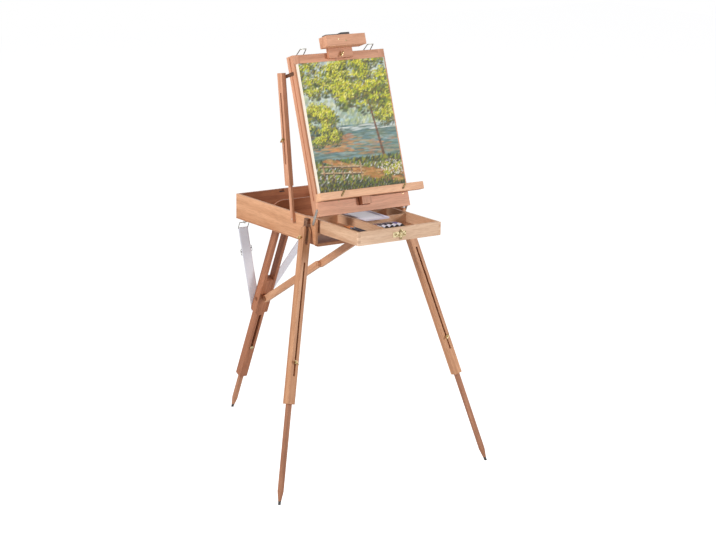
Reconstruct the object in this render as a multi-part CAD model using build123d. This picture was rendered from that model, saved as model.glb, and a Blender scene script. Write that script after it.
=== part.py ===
from build123d import *
import math
import os

# Box easel: a beech sketch box on three telescoping legs, with a drawer, a lid that holds the canvas,
# and two telescoping arms that set the lid's lean. Millimetres, +X to the viewer's right, +Y to the
# back, +Z up. Built with the case's front at y = 0, then moved so that the whole stands on z = 0 at
# the middle of its bounding box.

# Case
case_width = 397.2
case_depth = 550.0
case_rim_height = 971.0
case_wall_height = 91.0
case_wall = 11.0
floor_thickness = 4.0
front_batten_drop = 7.0
front_batten_width = 22.0
batten_middle_gap = 90.0
divider_setback = 352.0
divider_thickness = 8.0
divider_dip = 26.0
divider_dip_width = 78.0
mast_rest_notch_width = 24.0
mast_rest_notch_depth = 12.0

# Drawer, shown pulled out
drawer_side_gap = 9.4
drawer_pull = 244.0
drawer_length = 335.0
drawer_height = 48.5
drawer_below_rim = 5.5
drawer_front_thickness = 11.0
drawer_side_thickness = 9.0
drawer_bottom_raise = 9.0
drawer_bottom_thickness = 3.0
drawer_divider_thickness = 7.0
drawer_divider_drop = 5.0
drawer_long_divider_x = -45.0
drawer_cross_divider_y = -40.0
finger_count = 5
runner_width = 16.0
runner_height = 9.0
runner_setback = 12.0

# Drawer contents and latch
tube_radius = 8.5
tube_length = 92.0
tube_cap_length = 12.0
tube_pitch = 22.5
tube_first_x = 3.0
tube_count = 5
tray_width = 104.0
tray_thickness = 5.0
brush_radius = 4.0
brush_length = 205.0
latch_left = -31.0
latch_right = 25.0
latch_plate_height = 20.0
latch_button_length = 38.0
latch_plate_thickness = 1.2

# Lid, in its own frame: Z along the lid from its lower edge, -Y out of its front face
lid_width = 398.0
lid_lean = 18.6
lid_length = 585.0
lid_depth = 41.0
lid_pin_up = 22.0
lid_pin_back = 8.0
lid_pin_ahead_of_case = 13.0
lid_rim_clearance = 0.4
stile_width = 28.0
groove_width = 5.0
groove_depth = 3.0
lower_board_height = 50.0
lower_board_thickness = 12.0
top_rail_height = 35.0
lid_panel_thickness = 4.0

# Mast, canvas rest and clamp
mast_width = 40.0
mast_depth = 24.0
mast_stand_out = 0.4
mast_top = 632.0
mast_bottom = 24.0
mast_clearance = 0.6
mast_guide_width = 13.0
rest_left = -202.0
rest_right = 248.0
mast_foot_reach = 20.0
rest_bottom = 52.0
rest_height = 27.7
rest_depth = 35.0
canvas_width = 372.0
canvas_height = 471.0
canvas_thickness = 19.3
canvas_offset = -6.0
clamp_neck_width = 104.0
clamp_above_canvas = 11.3
clamp_neck_thickness = 14.0
clamp_head_width = 168.0
clamp_head_height = 40.0
clamp_head_reach = 64.0
clamp_neck_rise = 35.0
clamp_pad_thickness = 4.0

# Telescoping arms on the outer sides
arm_pivot_back = 139.5
arm_pivot_below_rim = 23.0
arm_pin_up_lid = 521.0
arm_pin_behind_lid_face = 76.0
arm_upper_width = 31.0
arm_upper_thickness = 18.0
arm_lower_width = 17.0
arm_lower_thickness = 8.5
arm_overlap_start = 122.0
arm_top_beyond_pin = 16.0
arm_screw_up = 288.0
arm_collapse = 165.0
arm_slot_width = 7.2
arm_fit = 0.6
side_plate_thickness = 2.0
side_plate_gap = 0.3
hinge_plate_radius = 5.5
arm_plate_radius = 6.5

# Front legs
front_foot_out = 461.0
front_foot_ahead = 180.6
front_pivot_height = 900.0
front_pivot_back = 30.0
front_pivot_from_wall = 26.4
leg_section = 31.0
leg_head_above_pivot = 43.5
leg_fork_width = 13.0
leg_fork_depth = 24.0
front_upper_length = 597.0
front_screw_down = 448.0
front_retract = 355.0
front_extend = 45.0
lower_section = 16.0
channel_clearance = 0.5
slot_width = 7.0
rear_slot_width = 11.0
lower_top_above_screw = 18.0
taper_length = 38.0
tip_length = 12.0
tip_radius = 5.0
tip_trim = 3.0
bracket_plate = 4.0
bracket_half_width = 11.0
bracket_tongue_length = 68.0
bracket_foot_reach = 12.0
bracket_foot_back = 32.0
bracket_foot_height = 18.0
bracket_foot_below_rim = 3.0

# Rear leg and its brace
rear_lean = 24.66
rear_foot_back = 915.0
rear_section = 34.0
rear_cheek_thickness = 11.0
rear_cheek_length = 412.0
rear_mid_top = 253.0
rear_mid_bottom = 738.0
rear_mid_travel = 225.0
rear_lower_top = 571.0
rear_screw_down = 588.0
rear_lower_travel = 160.0
rear_hinge_drop = 48.0
brace_height = 26.0
brace_thickness = 12.8
brace_lap_gap = 0.2
rear_clamp_down = 351.0
brace_pin_down = 330.0
brace_pin_offset = 32.5
brace_top_back = 45.0
ear_thickness = 3.0
ear_radius = 9.0
ear_flange = 14.0

# Shoulder strap
strap_x = 166.0
strap_off_leg = 1.7
strap_ring_height = 858.0
strap_width = 38.0
strap_thickness = 2.0
strap_drop = 450.0
ring_wire = 1.5
ring_drop = 26.0
strap_ring_gap = 0.3

# Fittings
pin_radius = 3.0
running_clearance = 0.06
wing_hub_radius = 5.0
wing_hub_length = 7.0
wing_span = 24.0
wing_height = 12.0
wing_thickness = 2.4
flat_head_radius = 8.0
flat_head_height = 3.0
bail_wire = 1.6
bail_x = 146.0
bail_width = 31.0
bail_length = 38.0
bail_forward_angle = 61.0
edge_round = 1.0

half_width = case_width / 2
lid_half = lid_width / 2
inner_half = half_width - case_wall
wall_bottom = case_rim_height - case_wall_height
case_underside = wall_bottom - floor_thickness
rear_hinge_height = case_underside - rear_hinge_drop
clamp_neck_bottom = rest_bottom + rest_height + canvas_height + clamp_above_canvas
clamp_head_bottom = clamp_neck_bottom + clamp_neck_rise
hole_radius = pin_radius + running_clearance


def block(x0, x1, y0, y1, z0, z1):
    """A box between two opposite corners."""
    return Pos((x0 + x1) / 2, (y0 + y1) / 2, (z0 + z1) / 2) * Box(x1 - x0, y1 - y0, z1 - z0)


def rod(start, end, radius):
    """A round rod between two points."""
    run = Vector(*end) - Vector(*start)
    place = Plane(origin=start, z_dir=run)
    return place * Cylinder(radius, run.length, align=(Align.CENTER, Align.CENTER, Align.MIN))


def both_sides(solid):
    """The left-hand solid and its mirror image."""
    return Compound([solid, solid.mirror(Plane.YZ)])


def wing_screw(shaft):
    """A brass wing screw that points up its axis, with its shaft below z = 0."""
    hub = Cylinder(wing_hub_radius, wing_hub_length, align=(Align.CENTER, Align.CENTER, Align.MIN))
    lobe = SlotCenterToCenter(wing_span - wing_height * 0.7, wing_height * 0.7)
    rise = wing_hub_length + wing_height * 0.12
    wings = Pos(0, 0, rise) * Rot(90, 0, 0) * extrude(lobe, wing_thickness / 2, both=True)
    stem = Pos(0, 0, -shaft) * Cylinder(pin_radius, shaft, align=(Align.CENTER, Align.CENTER, Align.MIN))
    return hub + wings + stem


# Case


def case_walls():
    wall = block(-half_width, -inner_half, 0, case_depth, wall_bottom, case_rim_height)
    wall = chamfer(wall.edges(), edge_round)
    return both_sides(wall)


def case_back_wall():
    back = block(-inner_half, inner_half, case_depth - case_wall, case_depth, wall_bottom, case_rim_height)
    notch = block(
        -mast_rest_notch_width / 2, mast_rest_notch_width / 2, case_depth - case_wall - 1, case_depth - 3,
        case_rim_height - mast_rest_notch_depth, case_rim_height + 1,
    )
    return back - notch


def case_floor():
    panel = block(-half_width, half_width, 0, case_depth, case_underside, wall_bottom)
    for side in (-1, 1):
        near, far = sorted((side * batten_middle_gap / 2, side * (half_width - 12)))
        panel += block(near, far, 1, front_batten_width, case_underside - front_batten_drop, case_underside)
    return panel


def case_divider():
    """Upright board behind the drawer, its top edge dipping at both ends."""
    top = case_rim_height
    reach = inner_half - divider_dip_width
    with BuildSketch(Plane.XZ.offset(-divider_setback)) as profile:
        with BuildLine():
            a = Line((-inner_half, wall_bottom), (inner_half, wall_bottom))
            b = Line(a @ 1, (inner_half, top - divider_dip))
            c = Spline(b @ 1, (reach, top), tangents=((-1, 0.0), (-1, 0.0)))
            d = Line(c @ 1, (-reach, top))
            e = Spline(d @ 1, (-inner_half, top - divider_dip), tangents=((-1, 0.0), (-1, 0.0)))
            Line(e @ 1, a @ 0)
        make_face()
    return extrude(profile.sketch, -divider_thickness)


drawer_top = case_rim_height - drawer_below_rim
drawer_bottom_z = drawer_top - drawer_height


def drawer_runners():
    """Two ledges glued to the side walls that the drawer slides on."""
    ledge = block(
        -inner_half, -inner_half + runner_width, runner_setback, divider_setback,
        drawer_bottom_z - 0.3 - runner_height, drawer_bottom_z - 0.3,
    )
    return both_sides(ledge)


hinge_tab = (12.0, case_rim_height - 20)
pin_world = (-lid_pin_ahead_of_case, case_rim_height + lid_depth - lid_pin_back + lid_rim_clearance)


def side_plate(centres, radius):
    """Plate of round ends and straight sides through the centres, on the left."""
    circles = [edge for centre in centres for edge in (Pos(*centre) * Circle(radius)).edges()]
    return extrude(Plane.YZ * make_hull(circles), side_plate_thickness)


hinge_plate_inner = lid_half + side_plate_gap


def hinge_plates():
    """Steel plates on the case's sides that carry the lid's pins."""
    pin_y, pin_z = pin_world
    outer = hinge_plate_inner + side_plate_thickness
    tab_y, tab_z = hinge_tab
    plate = Pos(-outer, 0, 0) * side_plate([pin_world, hinge_tab], hinge_plate_radius)
    plate += rod((-hinge_plate_inner, tab_y, tab_z), (-half_width, tab_y, tab_z), hinge_plate_radius)
    plate += rod((-outer, pin_y, pin_z), (-half_width + 14, pin_y, pin_z), pin_radius)
    plate += rod((-outer - 1.2, tab_y, tab_z), (-outer, tab_y, tab_z), 3.4)
    return both_sides(plate)


arm_pivot = (arm_pivot_back, case_rim_height - arm_pivot_below_rim)


def arm_pivots():
    """Pivot screws of the arms, with a washer against the case wall."""
    y, z = arm_pivot
    face = lid_half + side_plate_thickness
    screw = rod((-half_width, y, z), (-face, y, z), 7.0)
    screw += rod((-face, y, z), (-face - side_plate_gap - arm_lower_thickness, y, z), pin_radius)
    return both_sides(screw)


def case_hooks():
    """Catch plates on the back wall for the bails, and staples under the case for the strap."""
    catch_low = case_rim_height - 27
    catch = block(-bail_x - 8, -bail_x + 8, case_depth, case_depth + 5, catch_low, catch_low + 12)
    catch = fillet(catch.edges().filter_by(Axis.X).group_by(Axis.Y)[-1], 2)
    low = strap_ring_height - 2 * ring_wire - strap_ring_gap
    legs_apart = 5.0
    staple = rod((-strap_x, strap_back - legs_apart, low), (-strap_x, strap_back + legs_apart, low), ring_wire)
    for y in (strap_back - legs_apart, strap_back + legs_apart):
        staple += rod((-strap_x, y, low), (-strap_x, y, case_underside), ring_wire)
        staple += Pos(-strap_x, y, low) * Sphere(ring_wire)
    pieces = [catch, staple, catch.mirror(Plane.YZ), staple.mirror(Plane.YZ)]
    return Compound(pieces)


# Drawer

drawer_half = inner_half - drawer_side_gap
drawer_rear = drawer_length - drawer_pull
drawer_face_y = -drawer_pull
drawer_inside_y = drawer_face_y + drawer_front_thickness
drawer_floor_top = drawer_bottom_z + drawer_bottom_raise + drawer_bottom_thickness
finger = drawer_height / finger_count


def finger_blocks(x0, x1, y0, y1, first):
    """Every second finger of a corner joint, starting at the first or second."""
    pieces = []
    for n in range(first, finger_count, 2):
        low = drawer_bottom_z + n * finger
        pieces.append(block(x0, x1, y0, y1, low, low + finger))
    return pieces


def drawer_front():
    edge = drawer_half - drawer_side_thickness
    front = block(-edge, edge, drawer_face_y, drawer_inside_y, drawer_bottom_z, drawer_top)
    for piece in finger_blocks(-drawer_half, -edge, drawer_face_y, drawer_inside_y, 0):
        front += piece + piece.mirror(Plane.YZ)
    return front


def drawer_sides():
    edge = drawer_half - drawer_side_thickness
    side = block(-drawer_half, -edge, drawer_inside_y, drawer_rear, drawer_bottom_z, drawer_top)
    for piece in finger_blocks(-drawer_half, -edge, drawer_face_y, drawer_inside_y, 1):
        side += piece
    return both_sides(side)


def drawer_back():
    edge = drawer_half - drawer_side_thickness
    top = drawer_top - drawer_divider_drop
    return block(-edge, edge, drawer_rear - drawer_side_thickness, drawer_rear, drawer_bottom_z, top)


def drawer_bottom():
    edge = drawer_half - drawer_side_thickness
    rear = drawer_rear - drawer_side_thickness
    low = drawer_bottom_z + drawer_bottom_raise
    return block(-edge, edge, drawer_inside_y, rear, low, low + drawer_bottom_thickness)


def drawer_dividers():
    """One long divider from front to back and one cross divider on its right."""
    top = drawer_top - drawer_divider_drop
    half = drawer_divider_thickness / 2
    rear = drawer_rear - drawer_side_thickness
    x = drawer_long_divider_x
    y = drawer_cross_divider_y
    edge = drawer_half - drawer_side_thickness
    dividers = block(x - half, x + half, drawer_inside_y, rear, drawer_floor_top, top)
    return dividers + block(x + half, edge, y - half, y + half, drawer_floor_top, top)


def mixing_tray():
    """Shallow tray that lies on the cross divider and the drawer's back."""
    low = drawer_top - drawer_divider_drop
    x0 = drawer_long_divider_x + drawer_divider_thickness / 2 + 9
    y0 = drawer_cross_divider_y - 40
    tray = block(x0, x0 + tray_width, y0, drawer_rear - 1, low, low + tray_thickness)
    tray = fillet(tray.edges().filter_by(Axis.Z), 6)
    hollow = block(x0 + 3, x0 + tray_width - 3, y0 + 3, drawer_rear - 4, low + 1.5, low + tray_thickness + 1)
    return tray - fillet(hollow.edges().filter_by(Axis.Z), 4)


def paint_tubes():
    """Tubes side by side, caps to the front, crimped ends against the cross divider."""
    tubes = []
    rear = drawer_cross_divider_y - drawer_divider_thickness / 2 - 1
    front = rear - tube_length
    shoulder = front + tube_cap_length
    z = drawer_floor_top + tube_radius
    for n in range(tube_count):
        x = tube_first_x + n * tube_pitch
        body = rod((x, shoulder, z), (x, rear, z), tube_radius)
        with_crimp = Polygon((shoulder, z - 9), (shoulder + 30, z - 9), (rear, z - 1), (rear, z + 1),
                             (shoulder + 30, z + 9), (shoulder, z + 9), align=None)
        wedge = Pos(x - 15, 0, 0) * extrude(Plane.YZ * with_crimp, 30)
        tubes.append((body & wedge) + rod((x, front, z), (x, shoulder, z), tube_radius * 0.62))
    return Compound(tubes)


def brushes():
    """Two brushes that lie front to back beside the long divider."""
    pieces = []
    for n in range(2):
        x = drawer_long_divider_x - drawer_divider_thickness / 2 - brush_radius - 6 - n * 14
        z = drawer_floor_top + brush_radius
        y0 = drawer_inside_y + 22 + n * 9
        handle = rod((x, y0 + 34, z), (x, y0 + brush_length, z), brush_radius * 0.8)
        handle += rod((x, y0, z), (x, y0 + 34, z), brush_radius)
        pieces.append(handle)
    return Compound(pieces)


latch_height = (drawer_top + drawer_bottom_z) / 2
latch_swivel_x = 3.0


def latch_plate():
    """Brass plate on the drawer's front with round screw heads and the button's pin."""
    face = drawer_face_y - latch_plate_thickness
    z0 = latch_height - latch_plate_height / 2
    plate = block(latch_left, latch_right, face, drawer_face_y, z0, z0 + latch_plate_height)
    plate = fillet(plate.edges().filter_by(Axis.Y), 3)
    for x in (latch_left + 6, latch_right - 6):
        for z in (latch_height - 5, latch_height + 5):
            plate += rod((x, face, z), (x, face - 0.2, z), 2.4)
    return plate + rod((latch_swivel_x, face, latch_height), (latch_swivel_x, face - 4, latch_height), pin_radius - 1)


def drawer_latch():
    """Turn button that swings over the case's front edge."""
    y1 = drawer_face_y - latch_plate_thickness - 0.3
    bar = SlotCenterToCenter(latch_button_length - 9, 9)
    lever = Plane(origin=(latch_swivel_x, y1, latch_height), x_dir=(0, 0, 1), z_dir=(0, -1, 0)) * extrude(bar, 2.4)
    hole = rod((latch_swivel_x, y1 + 1, latch_height), (latch_swivel_x, y1 - 3, latch_height),
               pin_radius - 1 + running_clearance)
    return lever - hole


# Lid

lean = math.radians(lid_lean)
lid_foot_y = pin_world[0] - lid_pin_up * math.sin(lean) - lid_pin_back * math.cos(lean)
lid_foot_z = pin_world[1] - lid_pin_up * math.cos(lean) + lid_pin_back * math.sin(lean)
lid_place = Pos(0, lid_foot_y, lid_foot_z) * Rot(-lid_lean, 0, 0)
stile_inner = lid_half - stile_width
panel_back = mast_depth + 1 + lid_panel_thickness


def lid_stiles():
    """Side rails of the lid, grooved outside, their lower ends round about the hinge pin."""
    stile = block(-lid_half, -stile_inner, 0, lid_depth, lower_board_height, lid_length)
    stile = fillet(stile.edges().filter_by(Axis.Z), edge_round)
    heel = block(-lid_half, -stile_inner, lower_board_thickness, lid_depth, 0, lid_pin_up)
    turn = rod((-lid_half, lid_pin_back, lid_pin_up), (-stile_inner, lid_pin_back, lid_pin_up), lid_depth - lid_pin_back)
    stile += heel & turn
    stile += block(-lid_half, -stile_inner, lower_board_thickness, lid_depth, lid_pin_up, lower_board_height)
    middle = lid_depth / 2
    groove = block(
        -lid_half - 1, -lid_half + groove_depth, middle - groove_width / 2, middle + groove_width / 2,
        lower_board_height + 10, lid_length - 6,
    )
    return both_sides(stile - groove)


def lid_top_rail():
    """Top rail, cut away in front where the mast passes."""
    low = lid_length - top_rail_height
    rail = block(-stile_inner, stile_inner, 0, lid_depth, low, lid_length)
    rail = fillet(rail.edges().filter_by(Axis.X), edge_round)
    notch_half = mast_width / 2 + mast_clearance
    return rail - block(-notch_half, notch_half, -1, mast_depth + 1, low - 1, lid_length + 1)


def lid_lower_board():
    board = block(-lid_half, lid_half, 0, lower_board_thickness, 0, lower_board_height)
    notch_half = mast_width / 2 + 4
    board -= block(-notch_half, notch_half, -1, lower_board_thickness + 1, mast_bottom - 2, lower_board_height + 1)
    for side in (-1, 1):
        board -= rod((side * (lid_half + 1), lid_pin_back, lid_pin_up),
                     (side * (lid_half - 15), lid_pin_back, lid_pin_up), hole_radius)
    return board


def lid_panel():
    return block(-stile_inner, stile_inner, mast_depth + 1, panel_back, lid_pin_up, lid_length - top_rail_height)


def mast_guides():
    inner = mast_width / 2 + mast_clearance
    guide = block(-inner - mast_guide_width, -inner, 3, mast_depth + 1, 60, lid_length - top_rail_height)
    return both_sides(guide)


def arm_plates():
    """Steel plates on the lid's sides that reach back to the arms."""
    front, back = 14.0, arm_pin_behind_lid_face
    plate = side_plate([(front, arm_pin_up_lid), (back, arm_pin_up_lid)], arm_plate_radius)
    return both_sides(Pos(-lid_half - side_plate_thickness, 0, 0) * plate)


bail_pivot_y = lid_depth - 5.2
bail_pivot_z = lid_length + bail_wire + 0.5


def bail_saddles():
    """Small steel saddles that hold the bails' lower rods on the top rail."""
    saddles = []
    for side in (-1, 1):
        x = side * bail_x
        outer = block(x - 6, x + 6, bail_pivot_y - 5, bail_pivot_y + 5, lid_length, lid_length + 5.6)
        outer = fillet(outer.edges().filter_by(Axis.X).sort_by(Axis.Z)[-2:], 2.4)
        bore = rod((x - 7, bail_pivot_y, bail_pivot_z), (x + 7, bail_pivot_y, bail_pivot_z),
                   bail_wire + running_clearance)
        saddles.append(outer - bore)
    return Compound(saddles)


def bail(side):
    """Closed wire loop that turns in its saddle and swings over to the case's catch plate."""
    half = bail_width / 2
    top_half = half - 3
    place = Pos(side * bail_x, bail_pivot_y, bail_pivot_z) * Rot(bail_forward_angle, 0, 0)
    corners = [(-half, 0, 0), (half, 0, 0), (top_half, 0, bail_length), (-top_half, 0, bail_length)]
    loop = None
    for n, corner in enumerate(corners):
        piece = rod(corner, corners[(n + 1) % 4], bail_wire) + Pos(*corner) * Sphere(bail_wire)
        loop = piece if loop is None else loop + piece
    return place * loop


# Mast, rest, canvas and clamp


def mast():
    half = mast_width / 2
    bar = block(-half, half, -mast_stand_out, mast_depth, mast_bottom, mast_top)
    bar = fillet(bar.edges().filter_by(Axis.Z), edge_round)
    return bar + block(-half, half, -mast_foot_reach, -mast_stand_out + 2, mast_bottom, rest_bottom)


def canvas_rest():
    bar = block(rest_left, rest_right, -rest_depth, -mast_stand_out, rest_bottom, rest_bottom + rest_height)
    return fillet(bar.edges().filter_by(Axis.X), 2)


def canvas():
    x0 = canvas_offset - canvas_width / 2
    low = rest_bottom + rest_height
    back = -mast_stand_out - 0.1
    board = block(x0, x0 + canvas_width, back - canvas_thickness, back, low, low + canvas_height)
    return fillet(board.edges().filter_by(Axis.Z), 1.5)


hook_positions = {"left": -113.0, "right": 155.0}
hook_height = rest_bottom + 11


def canvas_hook(name):
    """Brass turn button on the rest's front face."""
    x = hook_positions[name]
    face = -rest_depth - 0.3
    arm = Plane(origin=(x, face, hook_height), x_dir=(0.85, 0, 1), z_dir=(0, -1, 0)) * extrude(
        Pos(9, 0) * SlotCenterToCenter(20, 6), 2.2)
    pin = rod((x, face + 8, hook_height), (x, face - 3.4, hook_height), pin_radius - 1)
    return arm + pin


def rest_with_holes():
    bar = canvas_rest()
    for x in hook_positions.values():
        bar -= rod((x, -rest_depth - 1, hook_height), (x, -rest_depth + 9, hook_height), pin_radius - 1 + running_clearance)
    return bar


clamp_screw_up = clamp_neck_bottom + 12


def clamp_neck():
    half = clamp_neck_width / 2
    top = clamp_head_bottom + clamp_head_height
    plate = block(-half, half, -clamp_neck_thickness, -mast_stand_out - 0.3, clamp_neck_bottom, top)
    plate -= rod((0, 1, clamp_screw_up), (0, -clamp_neck_thickness - 1, clamp_screw_up), hole_radius)
    return plate


def clamp_head():
    half = clamp_head_width / 2
    top = clamp_head_bottom + clamp_head_height
    head = block(-half, half, -clamp_head_reach, -clamp_neck_thickness, clamp_head_bottom, top)
    return fillet(head.edges().filter_by(Axis.Y), 1.5)


def clamp_pad():
    """Dark rubber strip on the clamp head, thicker towards the middle."""
    low = clamp_head_bottom + clamp_head_height
    x0 = -clamp_head_width / 2 + 4
    front = -clamp_head_reach + 7
    strip = block(x0, 22, front, front + 26, low, low + clamp_pad_thickness)
    return strip + block(-14, 22, front, front + 26, low + clamp_pad_thickness, low + 2.2 * clamp_pad_thickness)


def clamp_screw():
    place = Plane(origin=(0, -clamp_neck_thickness - 0.2, clamp_screw_up), x_dir=(0.6, 0, 0.8), z_dir=(0, -1, 0))
    return place * wing_screw(clamp_neck_thickness - mast_stand_out - 0.4)


# Arms, built on the left in a frame with X outboard, Y to the front and Z up the arm

pin_y = lid_foot_y + arm_pin_up_lid * math.sin(lean) + arm_pin_behind_lid_face * math.cos(lean)
pin_z = lid_foot_z + arm_pin_up_lid * math.cos(lean) - arm_pin_behind_lid_face * math.sin(lean)
arm_run = Vector(0, pin_y - arm_pivot[0], pin_z - arm_pivot[1])
arm_length = arm_run.length
arm_inner_x = lid_half + side_plate_thickness + side_plate_gap
arm_place = Plane(origin=(-arm_inner_x, *arm_pivot), x_dir=(-1, 0, 0), z_dir=arm_run)


def arm_lower():
    half = arm_lower_width / 2
    bar = block(0, arm_lower_thickness, -half, half, -12, arm_screw_up + 14)
    bar -= rod((-1, 0, 0), (arm_lower_thickness + 1, 0, 0), hole_radius)
    bar -= rod((-1, 0, arm_screw_up), (arm_lower_thickness + 1, 0, arm_screw_up), hole_radius)
    return arm_place * bar


def arm_upper():
    half = arm_upper_width / 2
    groove_half = arm_lower_width / 2 + arm_fit
    bar = block(0, arm_upper_thickness, -half, half, arm_overlap_start, arm_length + arm_top_beyond_pin)
    bar = fillet(bar.edges().filter_by(Axis.Z), edge_round)
    groove_top = arm_screw_up + 14 + arm_collapse + 4
    bar -= block(-1, arm_lower_thickness + arm_fit, -groove_half, groove_half, arm_overlap_start - 1, groove_top)
    slot_low = arm_screw_up - 88
    slot_high = arm_screw_up + arm_collapse + pin_radius + 2
    bar -= block(arm_lower_thickness, arm_upper_thickness + 1, -arm_slot_width / 2, arm_slot_width / 2, slot_low, slot_high)
    return arm_place * bar


def arm_screw():
    face = arm_upper_thickness + 0.3
    place = Plane(origin=(face, 0, arm_screw_up), x_dir=(0, 0.7, 0.7), z_dir=(1, 0, 0))
    return arm_place * (place * wing_screw(face - 1))


# Front legs, built on the left in a frame with X outboard, Y to the front and Z up the leg

front_pivot = Vector(-half_width - front_pivot_from_wall, front_pivot_back, front_pivot_height)
front_foot = Vector(-front_foot_out, -front_foot_ahead, 0)
front_run = front_pivot - front_foot
front_total = front_run.length
front_up = front_run.normalized()
front_axis = Vector(-front_up.Z, 0, front_up.X).normalized()
front_place = Plane(origin=front_pivot, x_dir=front_axis, z_dir=front_up)
channel_half = lower_section / 2 + channel_clearance


def leg_upper(length, screw_down, up, down, section, front_sign, top, slot=slot_width):
    """Box-section outer leg with a channel for the inner leg and a slot in its front face."""
    half = section / 2
    bar = block(-half, half, -half, half, -length, top)
    bar = fillet(bar.edges().filter_by(Axis.Z), edge_round)
    channel_top = screw_down - lower_top_above_screw - up - 4
    bar -= block(-channel_half, channel_half, -channel_half, channel_half, -length - 1, -channel_top)
    low, high = sorted((front_sign * (half + 1), front_sign * (channel_half - 1)))
    bar -= block(-slot / 2, slot / 2, low, high,
                 -screw_down - down - pin_radius - 1, -screw_down + up + pin_radius + 1)
    return bar


def front_leg_upper():
    bar = leg_upper(front_upper_length, front_screw_down, front_retract, front_extend, leg_section,
                    1, leg_head_above_pivot)
    half = leg_section / 2
    head_edges = bar.edges().filter_by(Axis.X).group_by(Axis.Z)[-1]
    bar = fillet(head_edges, half - 1)
    bar -= block(-leg_fork_width / 2, leg_fork_width / 2, -half - 1, half + 1, -leg_fork_depth, leg_head_above_pivot + 1)
    bar -= rod((-half - 1, 0, 0), (half + 1, 0, 0), hole_radius)
    return front_place * bar


def inner_leg(top, foot, screw_down, front_sign):
    """Slim inner leg, tapered to a short neck and a rubber tip."""
    half = lower_section / 2
    leg = block(-half, half, -half, half, -foot + taper_length + tip_length, -top)
    wide = Plane.XY.offset(-foot + taper_length + tip_length) * Rectangle(lower_section, lower_section)
    narrow = Plane.XY.offset(-foot + tip_length) * Rectangle(tip_radius * 1.5, tip_radius * 1.5)
    leg += loft([narrow, wide])
    leg += Pos(0, 0, -foot + tip_length) * Cylinder(tip_radius, tip_length, align=(Align.CENTER, Align.CENTER, Align.MAX))
    leg -= rod((0, -2 * front_sign, -screw_down), (0, front_sign * (half + 1), -screw_down), hole_radius)
    return leg


ground = block(-1000, 1000, -1000, 2000, -100, 0)


def front_leg_lower():
    foot = front_total + tip_trim
    return front_place * inner_leg(front_screw_down - lower_top_above_screw, foot, front_screw_down, 1) - ground


def front_leg_screw():
    face = leg_section / 2 + 0.3
    place = Plane(origin=(0, face, -front_screw_down), x_dir=(0.8, 0, 0.6), z_dir=(0, 1, 0))
    return front_place * (place * wing_screw(face + 1))


def front_pivot_screw():
    face = leg_section / 2 + 0.3
    place = Plane(origin=(face, 0, 0), x_dir=(0, 0.9, 0.4), z_dir=(1, 0, 0))
    return front_place * (place * wing_screw(2 * face + 1))


def leg_brackets():
    """Steel tongue in the leg's fork, with a foot screwed to the case wall."""
    half = bracket_half_width
    tongue = block(-bracket_plate / 2, bracket_plate / 2, -half, half, 0, bracket_tongue_length)
    tongue += rod((-bracket_plate / 2, 0, 0), (bracket_plate / 2, 0, 0), half)
    tongue -= rod((-9, 0, 0), (9, 0, 0), hole_radius)
    bracket = front_place * tongue
    low = case_rim_height - bracket_foot_below_rim - bracket_foot_height
    bracket += block(-half_width - bracket_foot_reach, -half_width, bracket_foot_back, bracket_foot_back + 23,
                     low, low + bracket_foot_height)
    return both_sides(bracket)


# Rear leg, in a frame with X across, Y to the back and Z up the leg

rear_angle = math.radians(rear_lean)
rear_hinge_y = rear_foot_back - rear_hinge_height * math.tan(rear_angle)
rear_up = Vector(0, -math.sin(rear_angle), math.cos(rear_angle))
rear_place = Plane(origin=(0, rear_hinge_y, rear_hinge_height), x_dir=(1, 0, 0), z_dir=rear_up)
rear_total = rear_hinge_height / math.cos(rear_angle)
rear_half = rear_section / 2 + 0.5
cheek_inner = rear_section / 2 + 0.4
cheek_outer = cheek_inner + rear_cheek_thickness
hinge_pin = 4.0


def rear_leg_cheeks():
    """Two side bars hinged under the case, joined by straps with the brace's ears in front."""
    half = rear_half
    cheek = block(-cheek_outer, -cheek_inner, -half, half, -rear_cheek_length, 0)
    cheek += rod((-cheek_outer, 0, 0), (-cheek_inner, 0, 0), half)
    cheek -= rod((-cheek_outer - 1, 0, 0), (-cheek_inner + 1, 0, 0), hinge_pin + running_clearance)
    cheek -= rod((-cheek_outer - 1, 0, -rear_clamp_down), (-cheek_inner + 1, 0, -rear_clamp_down), hole_radius)
    return rear_place * both_sides(cheek)


def rear_clamp_screw():
    """Wing screw through the right cheek that pinches the middle bar."""
    place = Plane(origin=(cheek_outer + 0.3, 0, -rear_clamp_down), x_dir=(0, 0.4, 0.9), z_dir=(1, 0, 0))
    return rear_place * (place * wing_screw(rear_cheek_thickness))


def rear_clamp_bolt():
    """Bolt with a round head through the left cheek."""
    bolt = rod((-cheek_outer, 0, -rear_clamp_down), (-cheek_inner - 0.3, 0, -rear_clamp_down), hole_radius)
    bolt += rod((-cheek_outer - 3, 0, -rear_clamp_down), (-cheek_outer, 0, -rear_clamp_down), 7)
    return bolt


def brace_ears():
    """Steel strap across the front of the cheeks with two ears for the brace's lower pin."""
    face = -rear_half
    strap = block(-cheek_outer, cheek_outer, face - 0.9, face, -brace_pin_down - 14, -brace_pin_down + 14)
    left = -brace_lap_gap - brace_thickness - 0.3 - ear_thickness
    right = 0.1
    z = -brace_pin_down
    for x in (left, right):
        far = x + ear_thickness
        strap += block(x, far, -brace_pin_offset, face, z - ear_radius, z + ear_radius)
        strap += rod((x, -brace_pin_offset, z), (far, -brace_pin_offset, z), ear_radius)
    strap += rod((left, -brace_pin_offset, z), (right + ear_thickness, -brace_pin_offset, z), pin_radius)
    back = -face
    rear_strap = block(-cheek_outer, cheek_outer, back, back + 1, -rear_cheek_length + 10, -rear_cheek_length + 26)
    return rear_place * Compound([strap, rear_strap, rear_clamp_bolt()])


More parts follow.
